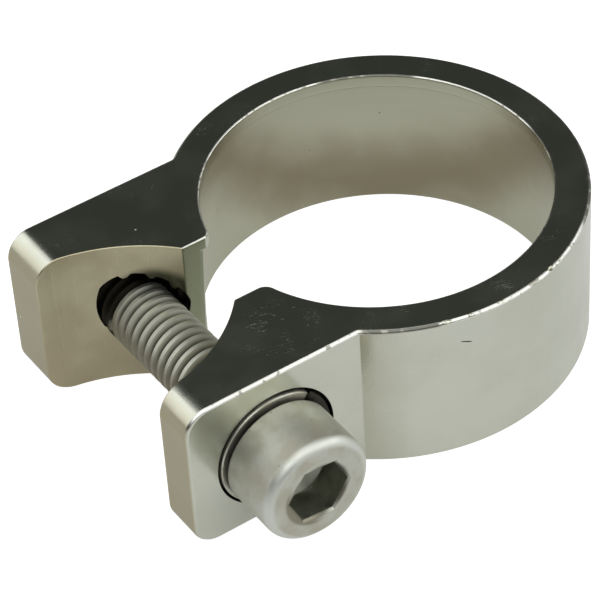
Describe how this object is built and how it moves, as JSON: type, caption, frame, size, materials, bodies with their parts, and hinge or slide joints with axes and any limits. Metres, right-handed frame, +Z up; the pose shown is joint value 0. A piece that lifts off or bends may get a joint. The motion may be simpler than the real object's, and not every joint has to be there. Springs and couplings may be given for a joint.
{
  "type": "bicycle seatpost clamp",
  "caption": "Polished split band with hollowed ears and a socket-head cross screw that closes it round the top of a bicycle's seat tube.",
  "frame": {"origin": "on the bore's axis, halfway up the band", "axes": "+Z up along the bore towards the lip, -Y towards the ears' tips, +X along the screw towards its head"},
  "size_m": [0.0382, 0.0466, 0.0148],
  "materials": {
    "band_metal": "bright polished outside, satin in the bore",
    "washer_metal": "satin, plated",
    "screw_metal": "satin, plated"
  },
  "bodies": {
    "clamp": {"clamp_band": "band_metal"},
    "washer": {"head_washer": "washer_metal"},
    "screw": {"clamp_screw": "screw_metal"}
  },
  "joints": [
    {"name": "screw_travel", "type": "slide", "parent": "clamp", "child": "washer", "axis": [1, 0, 0], "range_m": [0, 0.003]},
    {"name": "screw_turn", "type": "hinge", "parent": "washer", "child": "screw", "pos_m": [0, -0.0203, -0.0005], "axis": [1, 0, 0], "range_deg": [0, 1080]}
  ],
  "couplings": [
    {"joint": "screw_turn", "follows": "screw_travel", "rad_per_m": 6283.2}
  ]
}
